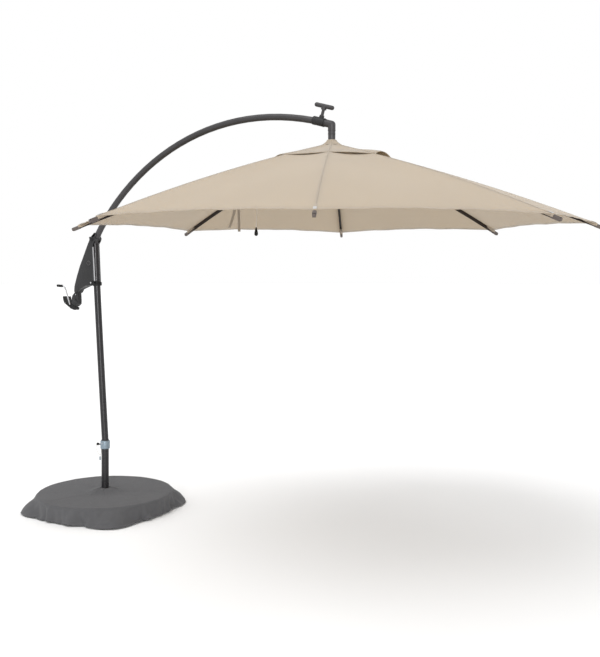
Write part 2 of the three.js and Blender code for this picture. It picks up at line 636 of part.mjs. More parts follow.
function ribGeometry() {
  const [w, h, t] = [RIB_HALF_WIDTH, RIB_HALF_HEIGHT, RIB_WALL];
  const channel = new THREE.Shape([
    [-w, -h], [w, -h], [w, h], [w - t, h], [w - t, t - h], [t - w, t - h], [t - w, h], [-w, h],
  ].map(([x, y]) => new THREE.Vector2(x, y)));
  const inwards = ribCurve.getTangent(0).multiplyScalar(-RIB_BACK).add(ribStart);
  const path = new THREE.CatmullRomCurve3([inwards, ...ribCurve.getPoints(8)]);
  return new THREE.ExtrudeGeometry(channel, { extrudePath: path, steps: 10, bevelEnabled: false });
}

function strutGeometry() {
  const length = strutInner.distanceTo(strutOuter);
  const half = STRUT_HALF_HEIGHT;
  const shape = new THREE.Shape();
  shape.moveTo(0, -half);
  shape.lineTo(length, -half);
  shape.absarc(length, 0, half, -Math.PI / 2, Math.PI / 2, false);
  shape.lineTo(0, half);
  shape.absarc(0, 0, half, Math.PI / 2, (3 * Math.PI) / 2, false);
  const options = { depth: 2 * STRUT_HALF_WIDTH, curveSegments: 6, bevelEnabled: false };
  const bar = new THREE.ExtrudeGeometry(shape, options);
  const slope = Math.atan2(strutOuter.z - strutInner.z, strutOuter.x - strutInner.x);
  return bar.translate(0, 0, -STRUT_HALF_WIDTH).rotateX(Math.PI / 2).rotateY(-slope)
    .translate(...strutInner.toArray());
}

// A disc with one open slot for each rib or strut.
function slottedDisc(profile, width, floor) {
  const slots = [];
  for (let i = 0; i < RIB_COUNT; i += 1) {
    const slot = block(HUB_RADIUS, width, 80, floor + HUB_RADIUS / 2, 0, 0);
    slots.push(slot.rotateZ((i + 0.5) * RIB_STEP * RAD));
  }
  return cut(turned(profile, 48), ...slots);
}

function addFrame() {
  const ropeHole = ROPE_RADIUS + 2;
  const neck = POST_FOOT - HUB_Z + 24;
  piece('top_hub', slottedDisc([
    [ropeHole, HUB_BOTTOM], [HUB_RADIUS, HUB_BOTTOM], [HUB_RADIUS, HUB_TOP], [17.5, HUB_TOP], [17.5, neck],
    [ropeHole, neck], [ropeHole, HUB_BOTTOM],
  ], HUB_SLOT, HUB_SLOT_FLOOR), FINISH.blackPlastic, canopy);

  const half = RUNNER_HALF_HEIGHT;
  const runner = slottedDisc([
    [0, -half], [HUB_RADIUS, -half], [HUB_RADIUS, half - 4], [HUB_RADIUS - 6, half], [0, half],
  ], RUNNER_SLOT, RUNNER_SLOT_FLOOR).translate(0, 0, strutInner.z);
  piece('runner', runner, FINISH.blackPlastic, canopy);
  const ropeEnds = [strutInner.z + half + GAP, HUB_BOTTOM + 10].map((z) => new THREE.Vector3(0, 0, z));
  piece('hoist_rope', rod(...ropeEnds, ROPE_RADIUS, 8), FINISH.cord, canopy);

  for (let i = 0; i < RIB_COUNT; i += 1) {
    const arm = new THREE.Group();
    arm.rotation.z = (i + 0.5) * RIB_STEP * RAD;
    canopy.add(arm);
    piece(`rib_${i + 1}`, ribGeometry(), FINISH.ribPaint, arm);
    piece(`strut_${i + 1}`, strutGeometry(), FINISH.ribPaint, arm);
  }
}

// ---- canopy fabric ----------------------------------------------------------------------------------
// A point on a gore's underside, in the gore's own frame, whose +X runs out along the middle of the gore.
// side runs -1 to 1 from one rib to the next.
function fabricPoint(radius, side, raised) {
  const halfAngle = (RIB_STEP / 2) * RAD;
  const middle = 1 - side * side;
  const share = radius / HEM_RADIUS;
  const r = radius - HEM_SCALLOP * middle * share ** 4;
  const sag = GORE_SAG * middle * Math.sin(Math.PI * Math.min(1, share) ** 0.8);
  return new THREE.Vector3(
    r * Math.cos(halfAngle),
    side * (r * Math.sin(halfAngle) - SEAM_GAP),
    ribHeight(r) + FABRIC_LIFT - sag + raised,
  );
}

// Extra height of the vent cap over the main canopy.
function capRise(radius, side) {
  const neck = NECK_LIFT * Math.exp(-(radius - CAP_INNER) / NECK_FADE);
  const open = THREE.MathUtils.smoothstep(radius, 110, CAP_RADIUS);
  return neck + CAP_LIFT * open * Math.max(0, 1 - (side / CAP_SEAM) ** 2);
}

// Columns across a gore, closer together at the seams.
const columns = [-1, -0.9, -0.5, 0, 0.5, 0.9, 1];
const columnAt = (share) => columns[Math.round(share * (columns.length - 1))];

function addFabric() {
  for (let i = 0; i < RIB_COUNT; i += 1) {
    const main = bentSheet(8, columns.length - 1, (u, v, w) => fabricPoint(
      THREE.MathUtils.lerp(VENT_RADIUS, HEM_RADIUS, u),
      columnAt(v),
      w * FABRIC_THICK,
    ));
    const cap = bentSheet(6, columns.length - 1, (u, v, w) => {
      const radius = THREE.MathUtils.lerp(CAP_INNER, CAP_RADIUS, u ** 1.6);
      return fabricPoint(radius, columnAt(v), (w + 0.5) * FABRIC_THICK + capRise(radius, columnAt(v)));
    });
    const gore = piece(`gore_${i + 1}`, join(main, cap), FINISH.canopy, canopy);
    gore.rotation.z = i * RIB_STEP * RAD;
  }
}

function addHangers() {
  const rib = new THREE.Group();
  rib.rotation.z = (HANGING_RIB - 0.5) * RIB_STEP * RAD;
  canopy.add(rib);
  const below = RIB_HALF_HEIGHT + 3;
  const cordHeights = [CORD_END - HUB_Z, ribHeight(CORD_AT) - below];
  const cordEnds = cordHeights.map((z) => new THREE.Vector3(CORD_AT, 0, z));
  piece('pull_cord', rod(...cordEnds, CORD_RADIUS, 8), FINISH.cord, rib);
  const drop = [[0, 0], [0.06, 4], [0.1, 5], [0.45, 9], [0.7, 12], [0.88, 11], [0.97, 6], [1, 0]];
  piece('cord_pendant', turned(
    drop.map(([share, r]) => [r, -share * PENDANT_LENGTH]).reverse(),
    20,
  ).translate(CORD_AT, 0, CORD_END - HUB_Z - GAP), FINISH.blackPlastic, rib);
  const top = ribHeight(STRAP_AT) - below;
  const foot = STRAP_END - HUB_Z;
  piece('tie_strap', block(...STRAP_SIZE, top - foot, STRAP_AT, 0, (top + foot) / 2), FINISH.webbing, rib);
}

addBase();
addCover();
addCollar();
addMast();
addLever();
addWinch();
addArm();
addTiltHead();
addFrame();
addFabric();
addHangers();

export default object;
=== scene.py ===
"""Looks of an offset patio umbrella: cloth, cords, finishes, stage, light and camera round the CAD frame."""

import json
import math

import bmesh
import bpy
import numpy as np
from mathutils import Matrix, Vector


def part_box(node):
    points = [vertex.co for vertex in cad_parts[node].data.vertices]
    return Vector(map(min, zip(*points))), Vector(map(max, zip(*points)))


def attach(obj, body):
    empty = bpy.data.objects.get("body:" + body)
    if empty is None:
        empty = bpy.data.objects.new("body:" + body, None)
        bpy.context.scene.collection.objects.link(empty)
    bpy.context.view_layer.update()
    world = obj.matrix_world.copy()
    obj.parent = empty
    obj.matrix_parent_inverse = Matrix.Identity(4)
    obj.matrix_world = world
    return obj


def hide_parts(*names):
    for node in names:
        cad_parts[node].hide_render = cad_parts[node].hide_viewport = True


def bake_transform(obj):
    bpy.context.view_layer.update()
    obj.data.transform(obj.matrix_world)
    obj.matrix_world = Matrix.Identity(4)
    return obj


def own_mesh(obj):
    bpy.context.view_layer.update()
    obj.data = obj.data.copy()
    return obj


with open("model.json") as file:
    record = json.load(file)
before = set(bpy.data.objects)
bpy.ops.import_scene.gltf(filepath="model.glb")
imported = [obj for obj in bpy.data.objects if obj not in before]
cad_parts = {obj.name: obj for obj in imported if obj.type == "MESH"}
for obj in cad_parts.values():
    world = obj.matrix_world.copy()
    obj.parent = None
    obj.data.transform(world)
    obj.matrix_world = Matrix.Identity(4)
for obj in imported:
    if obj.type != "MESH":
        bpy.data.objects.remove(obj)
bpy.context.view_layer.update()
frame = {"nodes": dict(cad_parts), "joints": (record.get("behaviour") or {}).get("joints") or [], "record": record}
NODES = frame["nodes"]
JOINTS = {joint["name"]: joint for joint in frame["joints"]}
rng = np.random.default_rng(7)

MM = 0.001
RIBS = 8
STEP = 2 * math.pi / RIBS
HALF_STEP = STEP / 2


# ---- measures taken from the frame -----------------------------------------------------------------------
def joint_at(name):
    return Vector(JOINTS[name]["pos_m"])


def middle(node):
    low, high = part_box(node)
    return (low + high) / 2


HUB = middle("runner")
HEM = (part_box("gore_1")[1].x - HUB.x) / math.cos(HALF_STEP)


def rib_profile():
    """Height of a rib's top edge as a cubic in the distance from the hub's axis."""
    points = np.array([v.co for v in NODES["rib_1"].data.vertices])
    radii = np.hypot(points[:, 0] - HUB.x, points[:, 1] - HUB.y)
    through_all = np.polynomial.Polynomial.fit(radii, points[:, 2], 3)
    upper = points[:, 2] - through_all(radii) > 5 * MM
    return np.polynomial.Polynomial.fit(radii[upper], points[upper, 2], 3)


RIB_TOP = rib_profile()


# ---- materials -------------------------------------------------------------------------------------------
def srgb(red, green, blue):
    """Linear colour from 8-bit sRGB values."""
    parts = [value / 255 for value in (red, green, blue)]
    return tuple(p / 12.92 if p <= 0.04045 else ((p + 0.055) / 1.055) ** 2.4 for p in parts) + (1.0,)


class Nodes:
    """A material's node tree, with short calls to add and join nodes."""

    def __init__(self, name):
        self.material = bpy.data.materials.new(name)
        self.material.use_nodes = True
        self.tree = self.material.node_tree
        self.shader = self.tree.nodes["Principled BSDF"]

    def add(self, kind, **inputs):
        node = self.tree.nodes.new(kind)
        for key, value in inputs.items():
            node.inputs[key.replace("_", " ")].default_value = value
        return node

    def link(self, source, target):
        self.tree.links.new(source, target)

    def place(self, scale=(1, 1, 1), turn=(0, 0, 0)):
        coordinates = self.add("ShaderNodeTexCoord")
        mapping = self.add("ShaderNodeMapping", Scale=scale, Rotation=turn)
        self.link(coordinates.outputs["Object"], mapping.inputs["Vector"])
        return mapping.outputs["Vector"]

    def noise(self, scale, detail=3.0, stretch=(1, 1, 1)):
        node = self.add("ShaderNodeTexNoise", Scale=scale, Detail=detail)
        self.link(self.place(stretch), node.inputs["Vector"])
        return node.outputs["Fac"]

    def ramp(self, source, stops):
        node = self.add("ShaderNodeValToRGB")
        elements = node.color_ramp.elements
        while len(elements) < len(stops):
            elements.new(0.5)
        for element, (position, colour) in zip(elements, stops):
            element.position = position
            element.color = colour
        self.link(source, node.inputs["Fac"])
        return node.outputs["Color"]

    def grey_ramp(self, source, stops):
        return self.ramp(source, [(position, (value, value, value, 1)) for position, value in stops])

    def math(self, operation, first, second):
        node = self.add("ShaderNodeMath")
        node.operation = operation
        for socket, value in zip(node.inputs, (first, second)):
            if isinstance(value, (int, float)):
                socket.default_value = value
            else:
                self.link(value, socket)
        return node.outputs["Value"]

    def bump(self, height, distance, strength=1.0, after=None):
        node = self.add("ShaderNodeBump", Strength=strength, Distance=distance)
        self.link(height, node.inputs["Height"])
        if after is not None:
            self.link(after, node.inputs["Normal"])
        return node.outputs["Normal"]


def scaled(colour, share):
    return tuple(min(1.0, part * share) for part in colour[:3]) + (1.0,)


def coated(name, colour, roughness, metallic=0.0, grain=900.0, depth=0.00012, wear=0.12, patch=9.0,
           gloss_level=0.25):
    """Paint or moulded plastic: fine grain, uneven gloss, and slightly paler rubbed edges."""
    n = Nodes(name)
    patches = n.noise(patch, 5.0)
    tone = n.ramp(patches, [(0.3, scaled(colour, 0.86)), (0.7, scaled(colour, 1.12))])
    geometry = n.add("ShaderNodeNewGeometry")
    edges = n.grey_ramp(geometry.outputs["Pointiness"], [(0.5, 0), (0.58, 1)])
    rubbed = n.add("ShaderNodeMix")
    rubbed.data_type = "RGBA"
    n.link(n.math("MULTIPLY", edges, wear), rubbed.inputs[0])
    n.link(tone, rubbed.inputs[6])
    rubbed.inputs[7].default_value = scaled(colour, 2.6)
    n.link(rubbed.outputs[2], n.shader.inputs["Base Color"])
    gloss = n.grey_ramp(n.noise(60.0), [(0.3, roughness - 0.06), (0.7, roughness + 0.07)])
    n.link(gloss, n.shader.inputs["Roughness"])
    n.shader.inputs["Metallic"].default_value = metallic
    n.shader.inputs["Specular IOR Level"].default_value = gloss_level
    n.link(n.bump(n.noise(grain, 2.0), depth), n.shader.inputs["Normal"])
    return n.material


def brushed(name, colour, roughness=0.32):
    """Bare steel with fine scratches in one direction."""
    n = Nodes(name)
    scratches = n.noise(240.0, 4.0, (1, 1, 14))
    tone = n.ramp(scratches, [(0.25, scaled(colour, 0.8)), (0.75, scaled(colour, 1.15))])
    n.link(tone, n.shader.inputs["Base Color"])
    n.link(n.grey_ramp(scratches, [(0.2, roughness - 0.08), (0.8, roughness + 0.12)]),
           n.shader.inputs["Roughness"])
    n.shader.inputs["Metallic"].default_value = 1.0
    n.link(n.bump(scratches, 0.0001, 0.5), n.shader.inputs["Normal"])
    return n.material


WAVES_AT_ONE = 3.14  # about how many waves a metre a wave texture has at scale 1


def woven(name, colour, threads, roughness=0.85, depth=0.0002, patch=3.0, spread=0.05, through=0.0,
          sheen=0.15):
    """Plain-weave cloth: crossed threads, soft patches and a little sheen. threads is per metre."""
    n = Nodes(name)
    heights = []
    for turn in ((0, 0, 0), (0, 0, math.pi / 2)):
        wave = n.add("ShaderNodeTexWave", Scale=threads / WAVES_AT_ONE, Distortion=0.8, Detail=1.0)
        wave.wave_profile = "SIN"
        n.link(n.place(turn=turn), wave.inputs["Vector"])
        heights.append(wave.outputs["Fac"])
    weave = n.math("MAXIMUM", *heights)
    soft = n.noise(patch, 6.0)
    tone = n.ramp(soft, [(0.3, scaled(colour, 1 - spread)), (0.7, scaled(colour, 1 + spread))])
    shade = n.grey_ramp(weave, [(0.0, 0.9), (0.6, 1)])
    mixed = n.add("ShaderNodeMix")
    mixed.data_type = "RGBA"
    mixed.blend_type = "MULTIPLY"
    mixed.inputs[0].default_value = 1.0
    n.link(tone, mixed.inputs[6])
    n.link(shade, mixed.inputs[7])
    n.link(mixed.outputs[2], n.shader.inputs["Base Color"])
    n.shader.inputs["Roughness"].default_value = roughness
    n.shader.inputs["Sheen Weight"].default_value = sheen
    n.shader.inputs["Sheen Roughness"].default_value = 0.5
    if through:
        n.shader.inputs["Subsurface Weight"].default_value = through
        n.shader.inputs["Subsurface Radius"].default_value = (1.0, 0.85, 0.65)
        n.shader.inputs["Subsurface Scale"].default_value = 0.01
    creases = n.bump(n.noise(14.0, 6.0), 0.0012, 0.35)
    n.link(n.bump(weave, depth, 0.6, creases), n.shader.inputs["Normal"])
    return n.material


CANOPY_CLOTH = woven("canopy_cloth", srgb(163, 149, 131), 1100, through=0.3, patch=1.6, spread=0.03)
SEAM_CLOTH = woven("seam_cloth", srgb(164, 150, 132), 1100, through=0.3, patch=1.6, spread=0.03)
COVER_CLOTH = woven("cover_cloth", srgb(79, 79, 81), 750, 0.92, 0.0004, patch=5.0, spread=0.07, sheen=0.08)
WEBBING = woven("webbing", srgb(160, 148, 132), 650, 0.8, 0.0003)
CORD_BRAID = woven("cord_braid", srgb(222, 219, 213), 900, 0.7, 0.0003)
STITCH = woven("stitch_thread", srgb(157, 143, 125), 2000, 0.7, 0.0001)
MAST_PAINT = coated("mast_paint", srgb(36, 35, 37), 0.3, 0.3, gloss_level=0.5)
ARM_PAINT = coated("arm_paint", srgb(67, 66, 67), 0.42, 0.3)
RIB_PAINT = coated("rib_paint", srgb(46, 39, 36), 0.5, 0.3)
BASE_PAINT = coated("base_paint", srgb(44, 44, 46), 0.6, 0.3, wear=0.25)
COLLAR_PAINT = coated("collar_paint", srgb(126, 140, 150), 0.4, 0.4)
HOUSING_PLASTIC = coated("housing_plastic", srgb(44, 44, 45), 0.5, grain=1400, depth=0.00022)
BLACK_PLASTIC = coated("black_plastic", srgb(24, 24, 25), 0.5, grain=1400, depth=0.0002)
GREY_PLASTIC = coated("grey_plastic", srgb(90, 82, 78), 0.5, grain=1400, depth=0.0002)
# Pale colour of the clips on the rib tips: partly the clip's own colour, partly a painted highlight for the light
# their tops catch from above.
PALE_CLIP_PAINTED_HIGHLIGHT = coated("pale_clip_painted_highlight", srgb(176, 176, 176), 0.45, grain=1400, depth=0.0002)
BALLAST = coated("ballast", srgb(52, 52, 54), 0.85, grain=240, depth=0.0012, wear=0.2)
STEEL = brushed("steel", srgb(190, 190, 192))

FINISHES = {
    "base_steel": BASE_PAINT, "ballast": BALLAST, "mast_paint": MAST_PAINT, "arm_paint": ARM_PAINT,
    "collar": COLLAR_PAINT, "cover_cloth": COVER_CLOTH, "black_plastic": BLACK_PLASTIC,
    "housing": HOUSING_PLASTIC, "steel": STEEL, "rib_paint": RIB_PAINT, "canopy": CANOPY_CLOTH,
    "cord": CORD_BRAID, "webbing": WEBBING,
}


# ---- mesh helpers ----------------------------------------------------------------------------------------
def smoothing_group():
    """Joins split vertices, then shades smooth except across sharp edges."""
    group = bpy.data.node_groups.new("smooth_by_angle", "GeometryNodeTree")
    group.interface.new_socket("Geometry", in_out="INPUT", socket_type="NodeSocketGeometry")
    group.interface.new_socket("Geometry", in_out="OUTPUT", socket_type="NodeSocketGeometry")
    start, end = group.nodes.new("NodeGroupInput"), group.nodes.new("NodeGroupOutput")
    merge = group.nodes.new("GeometryNodeMergeByDistance")
    merge.inputs["Distance"].default_value = 1e-5
    faces = group.nodes.new("GeometryNodeSetShadeSmooth")
    edges = group.nodes.new("GeometryNodeSetShadeSmooth")
    edges.domain = "EDGE"
    edges.inputs["Shade Smooth"].default_value = False
    angle = group.nodes.new("GeometryNodeInputMeshEdgeAngle")
    sharp = group.nodes.new("FunctionNodeCompare")
    sharp.data_type = "FLOAT"
    sharp.operation = "GREATER_THAN"
    sharp.inputs[1].default_value = math.radians(32)
    join = group.links.new
    join(start.outputs[0], merge.inputs["Geometry"])
    join(merge.outputs["Geometry"], faces.inputs["Geometry"])
    join(faces.outputs["Geometry"], edges.inputs["Geometry"])
    join(angle.outputs["Unsigned Angle"], sharp.inputs[0])
    join(sharp.outputs["Result"], edges.inputs["Selection"])
    join(edges.outputs["Geometry"], end.inputs[0])
    return group


SMOOTHING = smoothing_group()


def soften(piece, bevel=0.0):
    """Welds a piece, rounds its sharp edges by bevel, and shades it smooth."""
    custom = piece.data.attributes.get("custom_normal")
    if custom:
        piece.data.attributes.remove(custom)
    if bevel:
        weld = piece.modifiers.new("weld", "WELD")
        weld.merge_threshold = 1e-5
        rounding = piece.modifiers.new("rounding", "BEVEL")
        rounding.width = bevel
        rounding.segments = 2
        rounding.limit_method = "ANGLE"
        rounding.angle_limit = math.radians(32)
    piece.modifiers.new("smoothing", "NODES").node_group = SMOOTHING
    return piece


def make(name, points, faces, material, body):
    """A mesh piece that rides on a body."""
    mesh = bpy.data.meshes.new(name)
    mesh.from_pydata([tuple(p) for p in points], [], faces)
    mesh.validate()
    mesh.materials.append(material)
    piece = bpy.data.objects.new(name, mesh)
    bpy.context.scene.collection.objects.link(piece)
    mesh.shade_smooth()
    if body:
        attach(piece, body)
    return piece


def outward(piece):
    """Turns a closed mesh's faces outwards."""
    shape = bmesh.new()
    shape.from_mesh(piece.data)
    bmesh.ops.recalc_face_normals(shape, faces=shape.faces)
    shape.to_mesh(piece.data)
    shape.free()
    return piece


def grid(place, across, along, closed=False):
    """Points and faces of a sheet: place(u, v) for u and v from 0 to 1, u round a loop if closed."""
    columns = across if closed else across + 1
    points = [place(i / across, j / along) for j in range(along + 1) for i in range(columns)]
    faces = []
    for j in range(along):
        for i in range(across):
            after = (i + 1) % columns
            row, following = j * columns, (j + 1) * columns
            faces.append((row + i, row + after, following + after, following + i))
    return points, faces


def loft_faces(rows, sides):
    """Faces that join rows + 1 rings, each with sides points, closed by a cap at both ends."""
    faces = []
    for j in range(rows):
        near, far = j * sides, (j + 1) * sides
        faces += [(near + k, near + (k + 1) % sides, far + (k + 1) % sides, far + k) for k in range(sides)]
    faces.append(tuple(range(sides))[::-1])
    faces.append(tuple(rows * sides + k for k in range(sides)))
    return faces


def plate_faces(count):
    """Faces of a flat plate, whose two outlines each have count points."""
    faces = [tuple(range(count)), tuple(range(count, 2 * count))[::-1]]
    faces += [(i, (i + 1) % count, count + (i + 1) % count, count + i) for i in range(count)]
    return faces


def ring_angles(count):
    return [2 * math.pi * i / count for i in range(count)]


def shell(name, place, across, along, thickness, material, body):
    """A thin closed sheet. place gives a point of its lower face, which thickness is added above."""
    points, faces = grid(place, across, along)
    piece = make(name, points, faces, material, body)
    solid = piece.modifiers.new("thickness", "SOLIDIFY")
    solid.thickness = thickness
    solid.offset = 1.0
    return piece


def frames(path):
    """Two directions across a path at each of its points, turned as little as possible on the way."""
    points = [Vector(p) for p in path]
    tangents = [(points[min(i + 1, len(points) - 1)] - points[max(i - 1, 0)]).normalized()
                for i in range(len(points))]
    side = tangents[0].orthogonal().normalized()
    found = []
    for tangent in tangents:
        side = (side - tangent * side.dot(tangent)).normalized()
        found.append((side, tangent.cross(side)))
    return points, found


def tube(name, path, radius, material, body, sides=12):
    """A closed round bar along a path."""
    points, across = frames(path)
    rings = [point + first * radius * math.cos(angle) + second * radius * math.sin(angle)
             for point, (first, second) in zip(points, across) for angle in ring_angles(sides)]
    return outward(make(name, rings, loft_faces(len(points) - 1, sides), material, body))


def spline(points, steps):
    """A smooth path through points, as steps + 1 points."""
    given = [Vector(p) for p in points]
    padded = [2 * given[0] - given[1], *given, 2 * given[-1] - given[-2]]
    path = []
    for i in range(steps + 1):
        at = i / steps * (len(given) - 1)
        k = min(int(at), len(given) - 2)
        t = at - k
        a, b, c, d = padded[k:k + 4]
        path.append(0.5 * (2 * b + (c - a) * t + (2 * a - 5 * b + 4 * c - d) * t ** 2
                           + (3 * b - a - 3 * c + d) * t ** 3))
    return path


def path_length(path):
    return sum((Vector(b) - Vector(a)).length for a, b in zip(path, path[1:]))


# ---- CAD nodes: finishes and edges -----------------------------------------------------------------------
BEVELS = {
    "lever_shell_left": 2.0, "lever_shell_right": 2.0, "gearbox": 2.0, "crank_arm": 1.6, "latch_hook": 0.8,
    "lock_collar": 0.8, "arm_sleeve": 1.5, "runner": 1.2, "top_hub": 1.0, "mast_hinge": 1.2, "mast_band": 0.8,
    "weight_1": 3.0, "weight_2": 3.0, "weight_3": 3.0, "weight_4": 3.0, "lock_pin": 0.8, "hinge_pin": 0.8,
}
for part in frame["record"]["subparts"]:
    node = NODES[part["node"]]
    node.data.materials.clear()
    node.data.materials.append(FINISHES[part["material_slot"]])
    soften(node, BEVELS.get(part["node"], 0.0) * MM)


# ---- small parts on the frame ----------------------------------------------------------------------------
FINE_EDGE = 0.25 * MM


def axes_about(axis):
    """An axis and two directions across it, all of length 1."""
    axis = Vector(axis).normalized()
    first = axis.orthogonal().normalized()
    return axis, first, axis.cross(first)


def turned(name, centre, axis, profile, material, body, sides=32):
    """A closed solid of revolution. profile is radius and height pairs from its foot to its top."""
    axis, first, second = axes_about(axis)
    points = [Vector(centre) + axis * height + (first * math.cos(a) + second * math.sin(a)) * radius
              for radius, height in profile for a in ring_angles(sides)]
    faces = loft_faces(len(profile) - 1, sides)
    return soften(outward(make(name, points, faces, material, body)), FINE_EDGE)


def hoop(name, centre, axis, radius, thick, material, body, around=40, sides=8):
    """A raised ring round an axis."""
    axis, first, second = axes_about(axis)
    points = []
    for a in ring_angles(around):
        spoke = first * math.cos(a) + second * math.sin(a)
        for b in ring_angles(sides):
            out = radius + thick * math.cos(b)
            points.append(Vector(centre) + spoke * out + axis * thick * math.sin(b))
    faces = []
    for i in range(around):
        near, far = i * sides, (i + 1) % around * sides
        faces += [(near + k, near + (k + 1) % sides, far + (k + 1) % sides, far + k) for k in range(sides)]
    return outward(make(name, points, faces, material, body))


def screw(name, centre, axis, radius, body, material=STEEL):
    """A pan-head screw with a round socket."""
    shape = ((1, 0), (1, 0.35), (0.82, 0.62), (0.5, 0.7), (0.44, 0.66), (0.42, 0.2))
    profile = [(across * radius, height * radius) for across, height in shape]
    return turned(name, centre, axis, profile, material, body, 24)


def share_of(node, x, y, z):
    """A point at shares of a node's box along each axis."""
    low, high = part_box(node)
    return Vector((low.x + (high.x - low.x) * x, low.y + (high.y - low.y) * y, low.z + (high.z - low.z) * z))


def in_mm(*pairs):
    """Radius and height pairs given in millimetres."""
    return [(first * MM, second * MM) for first, second in pairs]


# Where the screws sit on the far half shell, as shares of its box.
SCREW_SPOTS = ((0.16, 0.13), (0.33, 0.34), (0.55, 0.60), (0.62, 0.17), (0.70, 0.40))
TRIM_SPAN = (0.205, 0.765)  # shares of the housing's height
TRIM_ROWS = 24
TRIM_STEP_ROW = 17  # the strip is narrower above this row
TRIM_WIDE, TRIM_NARROW = 6 * MM, 5 * MM
TRIM_FRONT = (-62 * MM, -76 * MM)  # x of the strip's rear edge at its foot and at its top


def build_trim(near, foot, crown):
    """A bright strip up the housing's front edge, with a lip folded round the corner."""
    bottom, top = (foot + (crown - foot) * share for share in TRIM_SPAN)
    points = []
    for j in range(TRIM_ROWS + 1):
        share = j / TRIM_ROWS
        z = bottom + (top - bottom) * share
        back = TRIM_FRONT[0] + (TRIM_FRONT[1] - TRIM_FRONT[0]) * share - 2 * MM
        ahead = back + 2 * MM + (TRIM_WIDE if j <= TRIM_STEP_ROW else TRIM_NARROW)
        corners = ((back, -0.9), (ahead, -0.9), (ahead, 2.6), (ahead - 2 * MM, 2.6), (ahead - 2 * MM, 0.6),
                   (back, 0.6))
        points += [(x, near + y * MM, z) for x, y in corners]
    faces = loft_faces(TRIM_ROWS, len(corners))
    soften(outward(make("housing_trim", points, faces, STEEL, "arm")), 0.4 * MM)


def build_housing_parts():
    """The boss, the hinge pin's caps, the far side's screws and the bright trim on the lever housing."""
    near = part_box("lever_shell_right")[0].y
    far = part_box("lever_shell_left")[1].y
    low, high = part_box("lever_shell_right")
    toward, away = Vector((0, -1, 0)), Vector((0, 1, 0))

    boss = share_of("lever_shell_right", 0.69, 0, 0.50)
    turned("housing_boss", boss, toward, in_mm((17, -1), (17, 3), (13.6, 5), (9.4, 4.4), (8, 0.6)),
           ARM_PAINT, "arm", 40)
    screw("boss_screw", boss + toward * 0.4 * MM, toward, 6 * MM, "arm", ARM_PAINT)

    pivot = joint_at("arm_fold")
    for name, y, axis in (("pivot_cap_near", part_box("hinge_pin")[0].y, toward),
                          ("pivot_cap_far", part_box("hinge_pin")[1].y, away)):
        face = near if axis is toward else far
        depth = abs(y - face)
        turned(name, (pivot.x, face, pivot.z), axis,
               [(12 * MM, 0), (12 * MM, depth), (9.5 * MM, depth + 1.6 * MM), (4 * MM, depth + 2.2 * MM)],
               BLACK_PLASTIC, "arm", 36)

    well = in_mm((7, -0.5), (7, 0.8), (6, 1.2), (5.2, 1.0), (4.9, -0.2))
    for index, (x, z) in enumerate(SCREW_SPOTS):
        place = share_of("lever_shell_left", x, 1, z)
        turned(f"screw_well_{index + 1}", place, away, well, HOUSING_PLASTIC, "arm", 28)
        screw(f"housing_screw_{index + 1}", place + away * -0.3 * MM, away, 4 * MM, "arm")

    build_trim(near, low.z, high.z)


def build_winch_parts():
    """Rings and screws on the winch case, rims on the crank, and rings on the grip."""
    centre, axis = joint_at("crank_turn"), Vector(JOINTS["crank_turn"]["axis"]).normalized()
    for index, along in enumerate((-14 * MM, 0.0, 9 * MM)):
        hoop(f"gearbox_ring_{index + 1}", centre + axis * along, axis, 27 * MM, 0.9 * MM, HOUSING_PLASTIC,
             "arm", 56)
    case = share_of("gearbox", 0.62, 0.5, 0.80)
    for index, side in enumerate((-1, 1)):
        screw(f"gearbox_screw_{index + 1}", (case.x, side * 18 * MM, case.z), (0, side, 0), 4 * MM, "arm")

    # The crank's outer edge: the corners of its flat face that lie beyond the line between its two ends.
    corners = {(round(v.co.x, 5), round(v.co.z, 5)) for v in NODES["crank_arm"].data.vertices
               if v.co.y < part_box("crank_arm")[0].y + 0.2 * MM}
    first = min(corners, key=lambda c: c[0] - 0.3 * c[1])
    last = min(corners, key=lambda c: c[1] - 0.3 * c[0])
    chord = Vector((last[0] - first[0], last[1] - first[1]))
    outer = [c for c in corners
             if chord.x * (c[1] - first[1]) - chord.y * (c[0] - first[0]) <= 1e-6]
    outer.sort(key=lambda c: (c[0] - first[0]) * chord.x + (c[1] - first[1]) * chord.y)
    low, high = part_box("crank_arm")
    for name, y in (("crank_rim_near", low.y), ("crank_rim_far", high.y)):
        rim = spline([(x, y, z) for x, z in outer], 40)
        tube(name, rim, 1.5 * MM, BLACK_PLASTIC, "crank", 8)

    grip, spin = middle("crank_grip"), Vector(JOINTS["grip_spin"]["axis"]).normalized()
    for index in range(7):
        hoop(f"grip_ring_{index + 1}", grip + spin * (index - 3) * 5.6 * MM, spin, 7.9 * MM, 0.8 * MM,
             BLACK_PLASTIC, "grip", 28)


def build_head_parts():
    """Moulded rings on the sleeve, the elbow and the canopy post, and the screw in the lock collar."""
    tilt, along = joint_at("canopy_tilt"), Vector(JOINTS["canopy_tilt"]["axis"]).normalized()
    if along.x < 0:
        along = -along
    for index, back in enumerate((5 * MM, 60 * MM, 72 * MM)):
        hoop(f"sleeve_ring_{index + 1}", tilt - along * back, along, 25 * MM, 1.1 * MM,
             HOUSING_PLASTIC, "arm", 48)
    hoop("elbow_ring", tilt + along * 6 * MM, along, 22 * MM, 1.2 * MM,
         ARM_PAINT, "tilt_head", 48)
    for index, height in enumerate((0.30, 0.46)):
        centre = (HUB.x, HUB.y, share_of("tilt_elbow", 0, 0, height).z)
        hoop(f"post_ring_{index + 1}", centre, (0, 0, 1), 22 * MM, 1.3 * MM,
             ARM_PAINT, "tilt_head", 48)
    screw("collar_screw", (0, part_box("lock_collar")[0].y + 0.2 * MM, share_of("lock_collar", 0, 0, 0.72).z),
          (0, -1, 0), 3.6 * MM, "base")


PIN_REACH = 10.5 * MM


